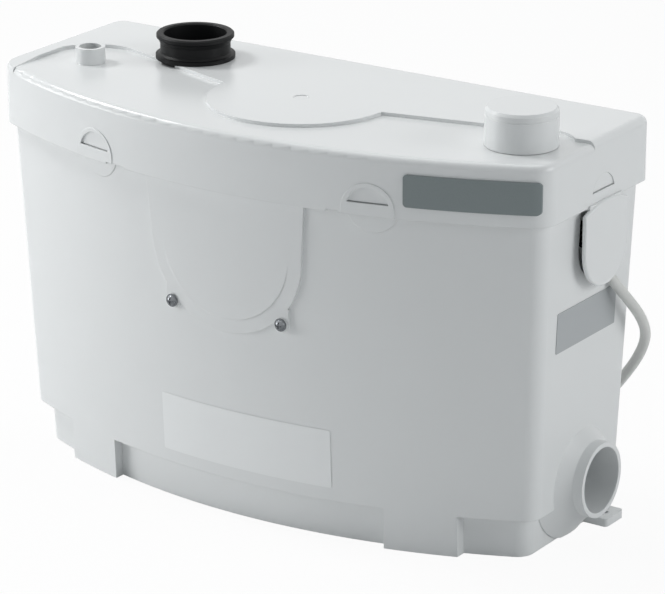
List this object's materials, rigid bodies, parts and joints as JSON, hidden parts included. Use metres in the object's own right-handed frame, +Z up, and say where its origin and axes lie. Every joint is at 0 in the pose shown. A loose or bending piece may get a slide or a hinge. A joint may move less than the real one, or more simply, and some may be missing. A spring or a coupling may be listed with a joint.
{
  "type": "sewage lifting station",
  "caption": "Bow-fronted plastic tank with a lift-off lid, macerating pump, check valve, level switch, side inlet spigot, capped top inlet and rubber discharge sleeve",
  "frame": {"origin": "middle of the tank's underside, on the floor that it stands on", "axes": "+X along the length towards the side inlet, +Y to the flat back, +Z up"},
  "size_m": [0.4285, 0.2893, 0.2928],
  "materials": {
    "white_tank": "satin",
    "white_lid": "satin",
    "black_rubber": "matte",
    "carbon_foam": "matte",
    "grey_plate": "satin",
    "label_film": "satin",
    "silver_film": "satin",
    "zinc_steel": "satin",
    "stainless_steel": "brushed",
    "bearing_steel": "ground",
    "cast_aluminium": "cast",
    "can_aluminium": "drawn",
    "copper_winding": "enamelled",
    "black_plastic": "matte",
    "grey_plastic": "matte",
    "cord_sheath": "matte",
    "plug_plastic": "satin",
    "nickel_brass": "nickel plated"
  },
  "bodies": {
    "base": {"tank": "white_tank", "lid_gasket": "black_rubber", "front_label": "label_film", "rating_label": "silver_film", "front_screws": "zinc_steel", "front_screw_washers": "zinc_steel", "front_screw_nuts": "zinc_steel", "suction_cover": "black_plastic", "volute": "black_plastic", "cutter_ring": "stainless_steel", "pump_feet": "black_rubber", "pump_bolts": "zinc_steel", "motor_flange": "cast_aluminium", "motor_can": "stainless_steel", "motor_end_cap": "cast_aluminium", "lower_bearing": "bearing_steel", "upper_bearing": "bearing_steel", "shaft_seal": "black_rubber", "stator_core": "bearing_steel", "stator_windings": "copper_winding", "discharge_elbow": "black_rubber", "hose_clamps": "stainless_steel", "valve_body": "grey_plastic", "valve_cover": "grey_plastic", "valve_pin": "stainless_steel", "discharge_riser": "grey_plastic", "inlet_flap_pin": "stainless_steel", "pressure_tube": "grey_plastic", "membrane_housing": "grey_plastic", "membrane": "black_rubber", "switch_plate": "grey_plastic", "plunger_spring": "stainless_steel", "microswitch": "black_plastic", "electrics_box": "grey_plastic", "electrics_box_cover": "grey_plastic", "capacitor": "can_aluminium", "terminal_block": "grey_plastic", "inner_lead": "cord_sheath", "cable_gland": "black_rubber", "supply_cord": "cord_sheath", "cord_coil": "cord_sheath", "cord_tail": "cord_sheath", "plug_body": "plug_plastic", "plug_pins": "nickel_brass"},
    "rotor": {"shaft": "stainless_steel", "rotor_core": "bearing_steel", "impeller": "black_plastic", "cutter_blade": "stainless_steel", "impeller_nut": "zinc_steel"},
    "lid_body": {"lid": "white_lid", "discharge_sleeve": "black_rubber", "nameplate": "grey_plate", "vent_filter": "carbon_foam", "cap_o_ring": "black_rubber"},
    "cap_body": {"inlet_cap": "white_lid"},
    "check_flap": {"valve_flap": "black_rubber"},
    "side_flap": {"inlet_flap": "grey_plastic"},
    "plunger": {"switch_plunger": "grey_plastic"}
  },
  "joints": [
    {"name": "lid_lift", "type": "slide", "parent": "base", "child": "lid_body", "axis": [0, 0, 1], "range_m": [0, 0.05]},
    {"name": "cap_lift", "type": "slide", "parent": "lid_body", "child": "cap_body", "axis": [0, 0, 1], "range_m": [0, 0.03]},
    {"name": "rotor_spin", "type": "hinge", "parent": "base", "child": "rotor", "pos_m": [0.005, -0.005, 0.1], "axis": [0, 0, 1], "continuous": true},
    {"name": "check_flap_swing", "type": "hinge", "parent": "base", "child": "check_flap", "pos_m": [-0.1295, 0.0395, 0.116], "axis": [0, -1, 0], "range_deg": [0, 60]},
    {"name": "side_flap_swing", "type": "hinge", "parent": "base", "child": "side_flap", "pos_m": [0.184, 0.0305, 0.073], "axis": [0, 1, 0], "range_deg": [0, 50]},
    {"name": "plunger_travel", "type": "slide", "parent": "base", "child": "plunger", "axis": [0, 0, 1], "range_m": [0, 0.0024], "stiffness_N_per_m": 300, "deforming": ["plunger_spring"]}
  ]
}
